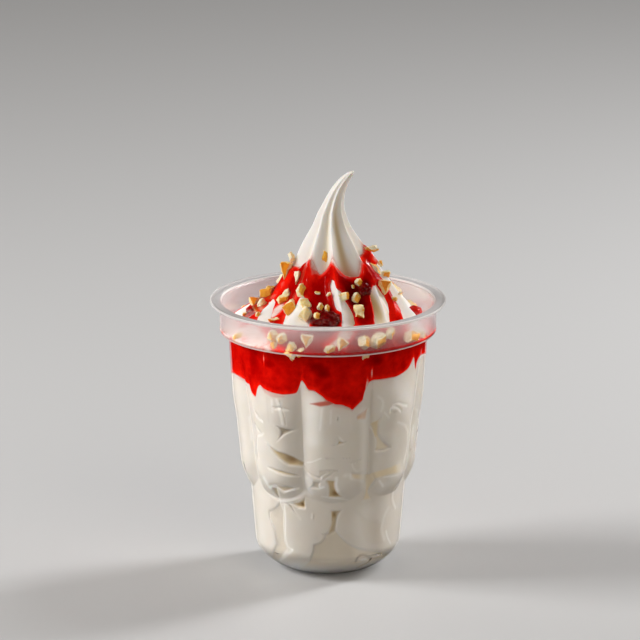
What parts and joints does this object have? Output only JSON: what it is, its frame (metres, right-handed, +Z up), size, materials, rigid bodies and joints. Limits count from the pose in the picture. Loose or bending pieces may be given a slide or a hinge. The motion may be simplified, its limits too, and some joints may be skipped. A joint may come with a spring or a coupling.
{
  "type": "ice cream sundae",
  "caption": "Soft-serve sundae in a clear lobed plastic cup, with red strawberry sauce, chopped nuts and fruit pieces under a curled peak.",
  "frame": {"origin": "centre of the cup's foot, on the surface it stands on", "axes": "+Z up along the cup's axis, -Y towards the front, +X towards the side the tip curls to"},
  "size_m": [0.092, 0.092, 0.1584],
  "materials": {
    "cup_clear": "clear moulded plastic with a frosted collar and rim",
    "soft_serve": "smooth, moist, slightly translucent dairy ice cream",
    "strawberry_sauce": "wet and glossy",
    "strawberry": "wet fruit",
    "chopped_nut": "cream cut faces with toasted golden sides"
  },
  "bodies": {
    "root": {"cup": "cup_clear", "soft_serve": "soft_serve", "strawberry_sauce": "strawberry_sauce", "strawberry_piece_1": "strawberry", "strawberry_piece_2": "strawberry", "strawberry_piece_3": "strawberry"}
  },
  "joints": []
}
